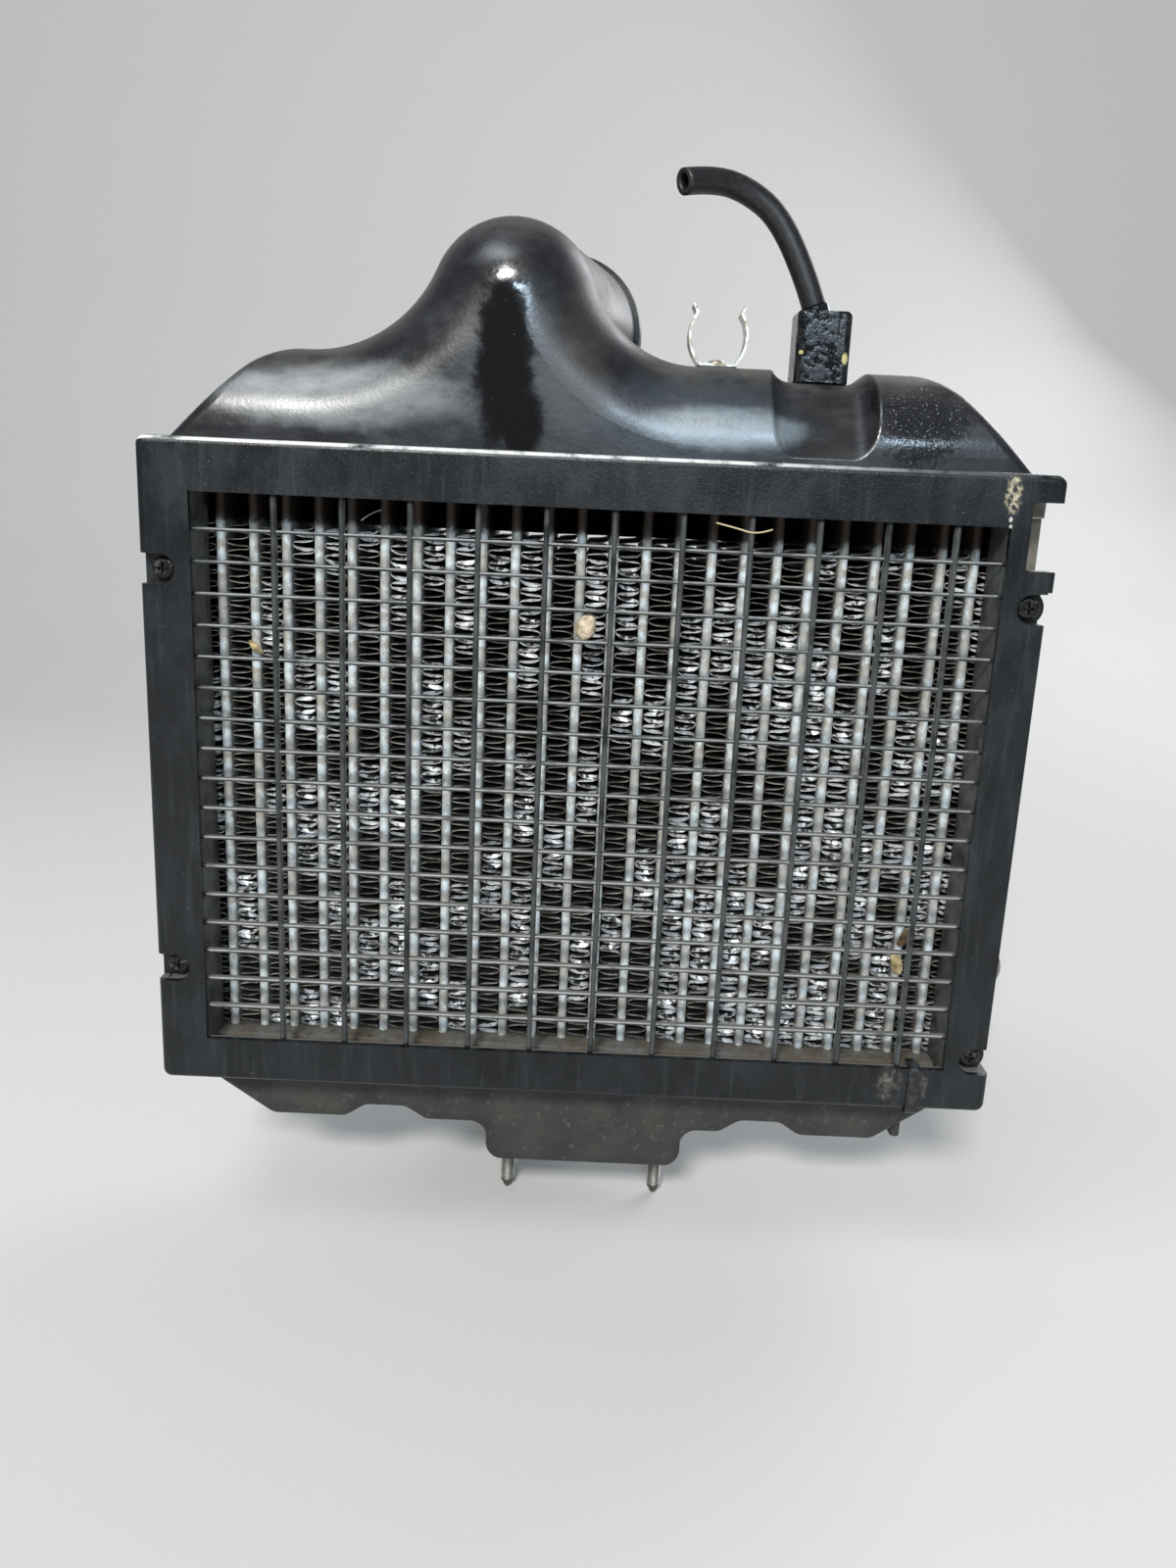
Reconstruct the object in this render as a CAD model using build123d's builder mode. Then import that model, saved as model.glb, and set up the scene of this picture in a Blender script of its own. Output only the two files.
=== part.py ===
from build123d import *
from math import cos, pi, radians, sin, sqrt, tan
import os

# An air-cooled charge cooler. Hot charge air comes in through the port on the top tank, goes down inside
# twenty-four flat tubes and leaves through the port on the bottom tank, while cooling air blows through
# the grille and between the tubes. Two studs in the foot of the bottom tank carry it.
#
# Millimetres. X runs across the grille, Y back through the core with the cooling air, and Z up. The origin
# lies midway between the two studs, on the underside of the foot that they stand in.

os.makedirs("parts", exist_ok=True)

# ------------------------------------------------------------------ driving sizes

# Middle of the grille, seen from the origin. The core's middle depth is the studs' depth, y = 0.
grille_x = -4.2

# Cooling core: flat tubes side by side with a folded fin strip between each two
tube_count = 24
tube_pitch = 10.58
tube_thick = 3.0
tube_wall = 0.4
core_depth = 50.0
core_high = 187.2         # between the two headers
tube_past = 2.0           # how far a tube stands past its header
fin_legs = 28
fin_bare = 12.5             # bare tube between the fins and the upper header
fin_sheet = 0.45          # measured across the tubes
side_sheet = 1.6
core_gap = 0.1            # between pieces that are brazed or pressed together

# Headers: pans that the tube ends stand in, crimped round the foot of each plastic tank
header_sheet = 2.0
header_past = 8.65        # past the side plates
header_lap = 6.0          # past the core's front and rear
header_rim = 1.6
rim_high = 12.0
crimp_lip = 2.2
crimp_pitch = 21.16
crimp_slit = 3.0
crimp_rows = 3            # slits in each end of the lip
gasket_high = 3.0
gasket_wide = 3.2

# Grille frame: one moulding with a face, an outer rim, an inner wall and the grid. It is as wide as
# the headers.
opening_side = 5.5        # from the edge of the opening to the side plate's inner face
opening_end = 3.2         # from the edge of the opening to the header
frame_border = 15.6       # face above and below the opening
frame_rise = 0.5          # middle of the face above the middle of the opening
frame_deep = 18.8
frame_gap = 0.2           # between the inner wall and the core
face_thick = 3.0
rim_deep = 9.0
frame_wall = 2.4
edge_round = 2.2
corner_r = 3.0
bar_pitch = 21.0
bar_shift = 5.0
bar_thick = 1.7
slat_pitch = 9.894
slat_thick = 1.1
grid_deep = 3.2
grid_inset = 1.5
bar_ahead = 0.5           # the bars stand in front of the slats
tab_wide = 9.8            # tabs on the right-hand edge, with a neck between the upper two
tab_high = 8.3
tab_gap = 20.6
second_tab_high = 6.3
lower_tab_high = 14.0
neck_r = 2.0
tab_r = 1.0
side_inset = 2.0          # the long right-hand edge lies inside the tabs

# Screws that hold the frame, each in a notch that is open to the side: heights in the frame
left_screws = [66.6, -65.1]
right_screws = [66.0, -86.8]
screw_inset = 6.1
screw_head_r = 3.6
screw_head_high = 2.6
screw_head_round = 1.0
screw_r = 2.0
screw_long = 17.0
cross_long = 3.4
cross_wide = 0.9
cross_deep = 1.4
notch_r = 4.7
seat_depth = 6.0
boss_r = 5.6
screw_clear = 0.15

# Tanks: plastic shells, each with a flange that the crimp holds on the gasket
tank_wall = 3.0
foot_high = 5.0
foot_r = 3.0
foot_clear = 0.2          # from the flange to the header's rim
tank_clear = 0.2          # from the shell to the crimped lip
tank_high = 33.4          # top of the tank above its flange
roll_r = 26.0             # front and rear edges of the top
end_side = 3.5            # upright side below the sloping end
end_r = 30.5
end_drop = 30.0           # middle of the end curve below the top
end_round = 4.0
bell_x = -30.5
bell_up = 15.3            # middle of the bell above the top
bell_r = 27.5
flare_left = 45.0
flare_right = 35.0

# Inlet port, which leaves the bell to the rear and a little to the right
port_turn = 14.0
inlet_r = 27.0
inlet_wall = 3.0
inlet_reach = 72.0
bead_r = 1.6
bead_back = 9.0

# Scoop in the front of the top tank, and the connector that stands in it
scoop_x = 69.8
scoop_wide = 33.0
scoop_lift = 3.0          # foot of the slope above the flange
scoop_sink = 3.6          # floor below the top of the tank
scoop_back = 20.5         # from the tank's front to where the slope turns level
scoop_run = 22.3          # run of the slope in y
scoop_bend = 12.0
scoop_r = 7.5
scoop_rim = 1.2
plug_x = 70.5
plug_y = 3.0
plug_wide = 17.8
plug_deep = 16.0
socket_high = 9.0
plug_high = 13.2
plug_round = 2.5
latch_wide = 9.0
latch_high = 7.5
latch_deep = 1.6
nipple_long = 6.0
collar_r = 4.6
collar_long = 4.0
spigot_r = 4.0
spigot_long = 7.0

# Spring clip on the rear of the top tank, riveted to a pad
clip_x = 37.3
clip_y = 12.0
clip_wide = 9.0
clip_strip = 0.8
clip_pad_rise = 1.4       # top of the pad above the top of the tank
clip_pad_high = 7.0
clip_pad_past = 1.0
clip_pad_r = 2.0
clip_base = 5.8           # half widths of the clip from its foot to its tips
clip_bulge = 9.6
clip_neck = 7.4
clip_tip = 8.7
clip_bulge_up = 9.0
clip_neck_up = 16.4
clip_tip_up = 19.0
rivet_r = 1.5
rivet_head_r = 2.8
rivet_head_high = 1.2
rivet_head_round = 1.0
rivet_long = 4.0

# Bottom tank: the underside slopes up at its ends, and has two raised steps and a foot in the middle
bottom_high = 26.0        # below the flange
bottom_inset = 1.5        # the shell's front and rear lie inside the top tank's
bottom_slope_run = 27.8
bottom_slope_high = 19.1
step_mid = 68.2
step_half = 14.4
step_top_half = 7.2
step_high = 4.8
step_r = 6.0
foot_drop = 14.8          # underside of the foot below the tank
foot_past = 7.25          # from a stud to the foot's side
edge_r = 5.0
rib_inset = 18.4
rib_thick = 3.5
rib_deep = 12.0
rib_rise = 0.4            # lower end of the rib above the tank's underside
rib_flat = 0.2            # flat at each end of the rib

# Outlet port on the rear of the foot
outlet_r = 21.5
outlet_lift = 0.3         # lowest point of the bead above the foot's underside
outlet_wall = 3.0
outlet_long = 28.0
neck_long = 24.5
neck_inset = 5.75
neck_high = 35.0
neck_lift = 1.0
neck_flat = 1.0           # flat at each end of the oblong

# Mounting studs, each with a knurled head that is moulded into the foot
stud_spacing = 57.0
stud_r = 2.5
stud_long = 25.0
stud_point = 4.0
stud_taper = 18.0         # degrees
stud_tip_r = 0.8
stud_head_r = 3.6
stud_set = 7.0
stud_boss_r = 7.0
stud_clear = 0.05

# Retaining strip over the bottom edge of the frame
strip_inset = 9.85        # from the edge of the opening
strip_wide = 3.8
strip_thick = 1.0
strip_clear = 0.1
strip_back = 6.0
strip_bend = 0.8

# Lug on the right-hand side plate
lug_out = 7.65            # from the plate's inner face to the middle of the lug
lug_z = -60.0
lug_r = 8.8
lug_deep = 14.0
lug_bore = 3.2

# Vacuum hose from the connector, with an open end
hose_r = 4.0
hose_bore = 2.5
hose_points = [
    (63.4, 3.0, 301.8), (59.8, 3.0, 311.2), (50.0, 3.2, 328.6),
    (39.5, 2.4, 335.9), (27.8, -1.7, 338.2), (17.6, -7.8, 335.4),
]

# ------------------------------------------------------------------ worked out from the driving sizes

core_front = -core_depth / 2
face_y = core_front - frame_gap - frame_deep
tube_last = (tube_count - 1) / 2 * tube_pitch
side_inner = tube_last + tube_pitch - tube_thick / 2

# Heights above the middle of the core
header_in = core_high / 2
header_out = header_in + header_sheet
foot_from = header_out + gasket_high
foot_to = foot_from + foot_high
tank_top = foot_to + tank_high
bottom_drop = foot_to + bottom_high
core_z = bottom_drop + foot_drop

# Pan of the header, the tank's flange inside its rim and the tank's shell inside its lip
header_wide = 2 * (side_inner + side_sheet + header_past)
header_deep = core_depth + 2 * header_lap
pan_wide = header_wide - 2 * header_rim
pan_deep = header_deep - 2 * header_rim
foot_wide = pan_wide - 2 * foot_clear
foot_deep = pan_deep - 2 * foot_clear
tank_wide = pan_wide - 2 * (crimp_lip + tank_clear)
tank_deep = pan_deep - 2 * (crimp_lip + tank_clear)
bottom_deep = tank_deep - 2 * bottom_inset

opening_wide = 2 * (side_inner - opening_side)
opening_high = 2 * (header_in - opening_end)
frame_side = header_wide / 2
frame_top = opening_high / 2 + frame_border + frame_rise
frame_bottom = -opening_high / 2 - frame_border + frame_rise
left_places = [(screw_inset - frame_side, z) for z in left_screws]
right_places = [(frame_side - screw_inset, z) for z in right_screws]
screw_places = left_places + right_places


def facing(y):
    """Plane across the cooling air at depth y, seen from the front. A negative extrusion goes back."""
    return Plane(origin=(grille_x, y, core_z), x_dir=(1, 0, 0), z_dir=(0, -1, 0))


def level(z):
    """Level plane at z above the middle of the core, with its origin under the grille's middle."""
    return Plane.XY.offset(core_z + z).shift_origin((grille_x, 0, core_z + z))


def over(part):
    """The same piece turned over, from the top of the core to the bottom."""
    return mirror(part, about=Plane.XY.offset(core_z))


# ------------------------------------------------------------------ core

tube_places = [(i - (tube_count - 1) / 2) * tube_pitch for i in range(tube_count)]

for number, x in enumerate(tube_places, 1):
    with BuildPart() as charge_tube:
        with BuildSketch(level(-header_out - tube_past)):
            with Locations((x, 0)):
                SlotOverall(core_depth, tube_thick, rotation=90)
                SlotOverall(core_depth - 2 * tube_wall, tube_thick - 2 * tube_wall, rotation=90,
                            mode=Mode.SUBTRACT)
        extrude(amount=2 * (header_out + tube_past))
    charge_tube.part.label = f"charge_tube_{number:02d}"
    export_step(charge_tube.part, f"parts/charge_tube_{number:02d}.step")

# Folded fins, one strip in each gap between tubes and one outside each last tube
fin_depth = core_depth - tube_thick
fin_wide = tube_pitch - tube_thick - 2 * core_gap
fin_from = core_gap - header_in
fin_rise = (core_high - fin_bare - 2 * core_gap) / fin_legs

with BuildPart() as cooling_fins:
    with BuildSketch(facing(core_front + tube_thick / 2)):
        for i in range(tube_count + 1):
            middle = (i - tube_count / 2) * tube_pitch
            folds = []
            for k in range(fin_legs + 1):
                side = 1 if k % 2 else -1
                folds.append((middle + side * (fin_wide - fin_sheet) / 2, fin_from + k * fin_rise))
            strip = [(x - fin_sheet / 2, z) for x, z in folds]
            strip += [(x + fin_sheet / 2, z) for x, z in reversed(folds)]
            with BuildLine():
                Polyline(*strip, close=True)
            make_face()
    extrude(amount=-fin_depth)
cooling_fins.part.label = "cooling_fins"
export_step(cooling_fins.part, "parts/cooling_fins.step")


def side_plate(side, screws, lug):
    """Folded side plate of the core: a web beside the last fins and a flange that takes the screws."""
    web = side_inner + side_sheet / 2
    flange_wide = header_wide / 2 - side_inner
    with BuildPart() as plate:
        with BuildSketch(level(core_gap - header_in)):
            with Locations((side * web, 0)):
                Rectangle(side_sheet, core_depth)
            with Locations((side * (side_inner + flange_wide / 2), core_front + side_sheet / 2)):
                Rectangle(flange_wide, side_sheet)
        extrude(amount=core_high - 2 * core_gap)
        if lug:
            with BuildSketch(facing(core_front)):
                with Locations((side * (side_inner + lug_out), lug_z)):
                    Circle(lug_r)
                with Locations((side * (side_inner - lug_r), lug_z)):
                    Rectangle(2 * lug_r, 2 * lug_r, mode=Mode.SUBTRACT)
            extrude(amount=-lug_deep)
            with BuildSketch(facing(core_front)):
                with Locations((side * (side_inner + lug_out), lug_z)):
                    Circle(lug_bore)
            extrude(amount=-lug_deep, mode=Mode.SUBTRACT)
        with BuildSketch(facing(core_front)):
            with Locations(*screws):
                Circle(screw_r + screw_clear)
        extrude(amount=-side_sheet, mode=Mode.SUBTRACT)
    return plate.part


with BuildPart() as left_side_plate:
    add(side_plate(-1, left_places, False))
left_side_plate.part.label = "left_side_plate"
export_step(left_side_plate.part, "parts/left_side_plate.step")

with BuildPart() as right_side_plate:
    add(side_plate(1, right_places, True))
right_side_plate.part.label = "right_side_plate"
export_step(right_side_plate.part, "parts/right_side_plate.step")

# ------------------------------------------------------------------ headers and gaskets


def header_pan():
    """Header over the tube ends: a slotted plate in a rim whose lip is crimped over the tank's flange."""
    with BuildPart() as pan:
        with BuildSketch(level(header_in)):
            RectangleRounded(header_wide, header_deep, foot_r + header_rim)
        extrude(amount=rim_high)
        with BuildSketch(level(header_out)):
            RectangleRounded(pan_wide, pan_deep, foot_r)
        extrude(amount=foot_to + core_gap - header_out, mode=Mode.SUBTRACT)
        with BuildSketch(level(header_out)):
            Rectangle(pan_wide - 2 * crimp_lip, pan_deep - 2 * crimp_lip)
        extrude(amount=rim_high, mode=Mode.SUBTRACT)
        with BuildSketch(level(header_in)):
            with Locations(*[(x, 0) for x in tube_places]):
                SlotOverall(core_depth + 2 * core_gap, tube_thick + 2 * core_gap, rotation=90)
        extrude(amount=header_sheet, mode=Mode.SUBTRACT)
        # Slits part the lip into crimped teeth
        with BuildSketch(level(foot_from)):
            with GridLocations(crimp_pitch, 0, int(foot_wide // crimp_pitch), 1):
                Rectangle(crimp_slit, header_deep)
            with GridLocations(0, crimp_pitch, 1, crimp_rows):
                Rectangle(header_wide, crimp_slit)
        extrude(amount=rim_high, mode=Mode.SUBTRACT)
    return pan.part


def gasket_ring():
    """Rubber seal between a header and the foot of its tank."""
    with BuildPart() as ring:
        with BuildSketch(level(header_out)):
            RectangleRounded(foot_wide, foot_deep, foot_r)
            Rectangle(foot_wide - 2 * gasket_wide, foot_deep - 2 * gasket_wide, mode=Mode.SUBTRACT)
        extrude(amount=gasket_high)
    return ring.part


with BuildPart() as top_header:
    add(header_pan())
top_header.part.label = "top_header"
export_step(top_header.part, "parts/top_header.step")

with BuildPart() as bottom_header:
    add(over(header_pan()))
bottom_header.part.label = "bottom_header"
export_step(bottom_header.part, "parts/bottom_header.step")

with BuildPart() as top_gasket:
    add(gasket_ring())
top_gasket.part.label = "top_gasket"
export_step(top_gasket.part, "parts/top_gasket.step")

with BuildPart() as bottom_gasket:
    add(over(gasket_ring()))
bottom_gasket.part.label = "bottom_gasket"
export_step(bottom_gasket.part, "parts/bottom_gasket.step")

# ------------------------------------------------------------------ grille frame

neck_x = frame_side - tab_wide
tab_low = frame_top - tab_high
neck_low = tab_low - tab_gap
second_tab_low = neck_low - second_tab_high
lower_tab_top = frame_bottom + lower_tab_high
wall_outside = opening_wide / 2 + frame_wall


def in_tabs(point):
    """Whether a point of the frame's outline lies between its right-hand tabs or on their inner edges."""
    x = point.X - grille_x
    z = point.Z - core_z
    return x > neck_x - 1 and lower_tab_top - 1 < z < tab_low + 1


with BuildPart() as grille_frame:
    with BuildSketch(facing(face_y)) as outline:
        with BuildLine():
            FilletPolyline(
                (-frame_side, frame_bottom), (-frame_side, frame_top), (frame_side, frame_top),
                (frame_side, tab_low), (neck_x, tab_low), (neck_x, neck_low), (frame_side, neck_low),
                (frame_side, second_tab_low), (frame_side - side_inset, second_tab_low),
                (frame_side - side_inset, lower_tab_top), (frame_side, lower_tab_top),
                (frame_side, frame_bottom),
                radius=[corner_r, corner_r, corner_r, 0, neck_r, tab_r, tab_r, 0, 0, 0, 0, corner_r],
                close=True)
        make_face()
    extrude(amount=-rim_deep)
    # The outer edge is well rounded, apart from the stretch between the tabs on the right
    face_edges = grille_frame.faces().sort_by(Axis.Y)[0].outer_wire().edges()
    fillet([edge for edge in face_edges if not in_tabs(edge.center())], edge_round)
    with BuildSketch(facing(face_y + face_thick)):
        offset(outline.face(), amount=-frame_wall, kind=Kind.INTERSECTION)
    extrude(amount=-rim_deep, mode=Mode.SUBTRACT)

    # Air opening, with an inner wall back to the core at its sides and top
    with BuildSketch(facing(face_y)):
        Rectangle(opening_wide + 2 * frame_wall, opening_high + 2 * frame_wall)
    extrude(amount=-frame_deep)
    with BuildSketch(facing(face_y + face_thick)):
        with Locations((0, -(opening_high + frame_wall) / 2)):
            Rectangle(opening_wide, frame_wall)
    extrude(amount=face_thick - frame_deep, mode=Mode.SUBTRACT)
    # Bosses and webs for the screws
    for x, z in screw_places:
        side = 1 if x > 0 else -1
        with BuildSketch(facing(face_y + face_thick)):
            with Locations((x, z)):
                Circle(boss_r)
            with Locations(((x + side * wall_outside) / 2, z)):
                Rectangle(abs(x) - wall_outside, 2 * frame_wall)
        extrude(amount=face_thick - frame_deep)
    with BuildSketch(facing(face_y)):
        Rectangle(opening_wide, opening_high)
    extrude(amount=-frame_deep, mode=Mode.SUBTRACT)

    # Grid across the opening, of bars and slats with rounded edges
    grid_middle = face_y + grid_inset + grid_deep / 2
    with BuildSketch(level(0)):
        with Locations((bar_shift, grid_middle)):
            with GridLocations(bar_pitch, 0, round(opening_wide / bar_pitch) - 1, 1):
                SlotOverall(grid_deep, bar_thick, rotation=90)
    extrude(amount=(opening_high + frame_wall) / 2, both=True)
    across = Plane((grille_x, grid_middle + bar_ahead / 2, core_z), x_dir=(0, 1, 0), z_dir=(1, 0, 0))
    with BuildSketch(across):
        with GridLocations(0, slat_pitch, 1, round(opening_high / slat_pitch) - 1):
            SlotOverall(grid_deep - bar_ahead, slat_thick)
    extrude(amount=(opening_wide + frame_wall) / 2, both=True)

    # Notches, open to the side, and the screw holes in their floors
    for x, z in screw_places:
        side = 1 if x > 0 else -1
        with BuildSketch(facing(face_y)):
            with Locations((x, z)):
                Circle(notch_r)
            with Locations((x + side * notch_r, z)):
                Rectangle(2 * notch_r, 2 * notch_r)
        extrude(amount=-seat_depth, mode=Mode.SUBTRACT)
    with BuildSketch(facing(face_y)):
        with Locations(*screw_places):
            Circle(screw_r + screw_clear)
    extrude(amount=-frame_deep, mode=Mode.SUBTRACT)
grille_frame.part.label = "grille_frame"
export_step(grille_frame.part, "parts/grille_frame.step")

with BuildPart() as frame_screws:
    with BuildSketch(facing(face_y + seat_depth)):
        with Locations(*screw_places):
            Circle(screw_head_r)
    extrude(amount=screw_head_high)
    fillet(frame_screws.edges().group_by(Axis.Y)[0], screw_head_round)
    with BuildSketch(facing(face_y + seat_depth)):
        with Locations(*screw_places):
            Circle(screw_r)
    extrude(amount=-screw_long)
    with BuildSketch(facing(face_y + seat_depth - screw_head_high)):
        with Locations(*screw_places):
            Rectangle(cross_long, cross_wide)
            Rectangle(cross_wide, cross_long)
    extrude(amount=-cross_deep, mode=Mode.SUBTRACT)
frame_screws.part.label = "frame_screws"
export_step(frame_screws.part, "parts/frame_screws.step")

# ------------------------------------------------------------------ top tank

bell_z = tank_top + bell_up
port_way = (sin(radians(port_turn)), cos(radians(port_turn)), 0)
bell_point = (grille_x + bell_x, 0, core_z + bell_z)
scoop_low = foot_to + scoop_lift
scoop_floor = tank_top - scoop_sink
scoop_knee = scoop_back - tank_deep / 2
clip_floor = tank_top + clip_pad_rise
end_slope = tank_wide / 2 + foot_to + end_side        # x + z along the sloping ends


def flare(side, radius, top, bell):
    """Ends of a flare between the tank's top and the bell, on its left (-1) or right (1)."""
    rise = top + radius - bell_z
    run = sqrt((bell + radius) ** 2 - rise ** 2)
    share = bell / (bell + radius)
    return (bell_x + side * run, top), (bell_x + side * run * share, bell_z + rise * share)


def on_skin(point):
    """Whether a point lies on the tank's flat front, its rounded front edge or its flat top."""
    back = point.Y + tank_deep / 2 - roll_r
    up = point.Z - core_z - tank_top + roll_r
    return abs(sqrt(min(back, 0) ** 2 + max(up, 0) ** 2) - roll_r) < core_gap


def scoop_form(grow):
    """What the scoop takes out of the top tank. With grow it takes the wall round the scoop as well."""
    slope_foot = scoop_knee - scoop_run
    above = core_z + scoop_floor + tank_deep
    with BuildPart() as form:
        with BuildSketch(Plane.YZ.offset(grille_x + scoop_x - scoop_wide / 2 - grow)):
            with BuildLine():
                FilletPolyline(
                    (slope_foot, core_z + scoop_low), (scoop_knee, core_z + scoop_floor),
                    (tank_deep, core_z + scoop_floor), (tank_deep, above), (slope_foot, above),
                    radius=[0, scoop_bend, 0, 0, 0], close=True)
            make_face()
            if grow:
                offset(amount=grow, kind=Kind.INTERSECTION)
        extrude(amount=scoop_wide + 2 * grow)
        floor_edges = form.edges().filter_by(
            lambda edge: edge.center().Z < core_z + scoop_floor + 1 and abs(edge.tangent_at(0.5).X) < 0.5)
        fillet(floor_edges, scoop_r)
    return form.part


def top_tank_form(inset):
    """Body of the top tank above its foot. With the wall's thickness as inset it is the hollow inside."""
    top = tank_top - inset
    bell = bell_r - inset
    side = tank_wide / 2 - inset
    low = foot_from - 1 if inset else foot_to - 1
    left_top, left_bell = flare(-1, flare_left + inset, top, bell)
    right_top, right_bell = flare(1, flare_right + inset, top, bell)
    half_deep = tank_deep / 2 - inset
    with BuildPart() as form:
        with BuildSketch(facing(-half_deep)):
            with BuildLine():
                Polyline(left_top, (-side, top), (-side, low), (side, low), (side, top), right_top)
                TangentArc(left_top, left_bell, tangent=(1, 0))
                ThreePointArc(left_bell, (bell_x, bell_z + bell), right_bell)
                TangentArc(right_top, right_bell, tangent=(-1, 0))
            make_face()
        extrude(amount=-2 * half_deep)
        roll_edges = form.edges().filter_by(
            lambda edge: edge.center().Z > core_z + top - 0.5
            and abs(abs(edge.center().Y) - half_deep) < 0.1)
        fillet(roll_edges, roll_r - inset)
        # Curved and sloping ends
        for way in (-1, 1):
            slope_x = end_slope - inset * sqrt(2)
            curve_x = slope_x - (top - end_drop) - (end_r - inset) * sqrt(2)
            reach = (end_r - inset) / sqrt(2)
            with BuildSketch(facing(-tank_deep)):
                with BuildLine():
                    start = (way * curve_x, top - end_drop + end_r - inset)
                    middle = (way * (curve_x + reach), top - end_drop + reach)
                    foot = (way * (slope_x - low + inset), low - inset)
                    TangentArc(start, middle, tangent=(way, 0))
                    Polyline(middle, foot, (way * (slope_x + tank_deep), low - inset),
                             (way * (slope_x + tank_deep), top + tank_deep),
                             (start[0], top + tank_deep), start)
                make_face()
            extrude(amount=-2 * tank_deep, mode=Mode.SUBTRACT)
    return form.part


with BuildPart() as top_tank:
    with BuildSketch(level(foot_from)):
        RectangleRounded(foot_wide, foot_deep, foot_r)
    extrude(amount=foot_high)
    add(top_tank_form(0))
    # Rounded rims of the curved and sloping ends
    ends = top_tank.faces().filter_by(
        lambda face: abs(face.normal_at().X) > 0.3 and face.center().Z > core_z + foot_to
        and abs(face.center().X - grille_x) > tank_wide / 3)
    fillet(ends.edges().filter_by(
        lambda edge: abs(edge.center().Y) > 1 and edge.center().Z > core_z + foot_to + 0.1), end_round)
    # Inlet port with a bead that keeps the hose on
    with BuildSketch(Plane(origin=bell_point, x_dir=(0, 0, 1), z_dir=port_way)):
        Circle(inlet_r)
    extrude(amount=inlet_reach)
    with BuildSketch(Plane(origin=bell_point, x_dir=(0, 0, 1), z_dir=port_way).offset(
            inlet_reach - bead_back - bead_r)):
        Circle(inlet_r + bead_r)
    extrude(amount=2 * bead_r)
    # Pad under the spring clip
    with BuildSketch(Plane.XY.offset(core_z + clip_floor)):
        with Locations((grille_x + clip_x, clip_y)):
            RectangleRounded(2 * (clip_base + clip_pad_past), clip_wide + 2 * clip_pad_past, clip_pad_r)
    extrude(amount=-clip_pad_high)
    add(top_tank_form(tank_wall) - scoop_form(tank_wall), mode=Mode.SUBTRACT)
    with BuildSketch(Plane(origin=bell_point, x_dir=(0, 0, 1), z_dir=port_way)):
        Circle(inlet_r - inlet_wall)
    extrude(amount=inlet_reach, mode=Mode.SUBTRACT)
    add(scoop_form(0), mode=Mode.SUBTRACT)
    fillet(top_tank.edges(Select.NEW).filter_by(
        lambda edge: all(on_skin(edge.position_at(share)) for share in (0, 0.5, 1))), scoop_rim)
    # Holes for the connector's spigot and the clip's rivet
    with BuildSketch(level(scoop_floor)):
        with Locations((plug_x, plug_y)):
            Circle(spigot_r + core_gap)
    extrude(amount=-spigot_long, mode=Mode.SUBTRACT)
    with BuildSketch(level(clip_floor)):
        with Locations((clip_x, clip_y)):
            Circle(rivet_r + stud_clear)
    extrude(amount=-rivet_long, mode=Mode.SUBTRACT)
top_tank.part.label = "top_tank"
export_step(top_tank.part, "parts/top_tank.step")

# ------------------------------------------------------------------ bottom tank

foot_box = stud_spacing + 2 * foot_past
neck_wide = foot_box - 2 * neck_inset
neck_z = neck_lift + neck_high / 2
outlet_from = bottom_deep / 2 + neck_long
outlet_reach = outlet_from + outlet_long
outlet_z = outlet_r + bead_r + outlet_lift


def bottom_profile():
    """Half of the bottom tank's outline as corner points, from its left flange to its right flange."""
    side = tank_wide / 2
    foot_left = -grille_x - foot_box / 2
    foot_right = -grille_x + foot_box / 2
    step_low = -bottom_drop + step_high
    points = [(-side, -foot_to), (-side, -bottom_drop + bottom_slope_high),
              (bottom_slope_run - side, -bottom_drop)]
    for middle in (-step_mid, step_mid):
        if middle > 0:
            points += [(foot_left, -bottom_drop), (foot_left, -core_z),
                       (foot_right, -core_z), (foot_right, -bottom_drop)]
        points += [(middle - step_half, -bottom_drop), (middle - step_top_half, step_low),
                   (middle + step_top_half, step_low), (middle + step_half, -bottom_drop)]
    return points + [(side - bottom_slope_run, -bottom_drop), (side, -bottom_drop + bottom_slope_high),
                     (side, -foot_to)]


def bottom_tank_form(inset):
    """Body of the bottom tank below its flange. With the wall's thickness as inset it is the hollow."""
    points = bottom_profile()
    radii = [0] + [step_r] * (len(points) - 2) + [0]
    half_deep = bottom_deep / 2 - inset
    with BuildPart() as form:
        with BuildSketch(facing(-half_deep)):
            with BuildLine():
                FilletPolyline(*points, radius=radii, close=True)
            make_face()
            if inset:
                offset(amount=-inset, kind=Kind.INTERSECTION)
                with Locations((0, -(foot_from + foot_to) / 2)):
                    Rectangle(tank_wide - 2 * inset, 2 * inset + foot_high)
        extrude(amount=-2 * half_deep)
        if not inset:
            fillet(form.edges().filter_by(
                lambda edge: abs(abs(edge.center().Y) - half_deep) < 0.1
                and edge.center().Z < core_z - foot_to - 0.1), edge_r)
    return form.part


def rearward(y, z):
    """Plane that looks to the rear at depth y, with its origin above the studs at height z."""
    return Plane(origin=(0, y, z), x_dir=(1, 0, 0), z_dir=(0, 1, 0))


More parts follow.
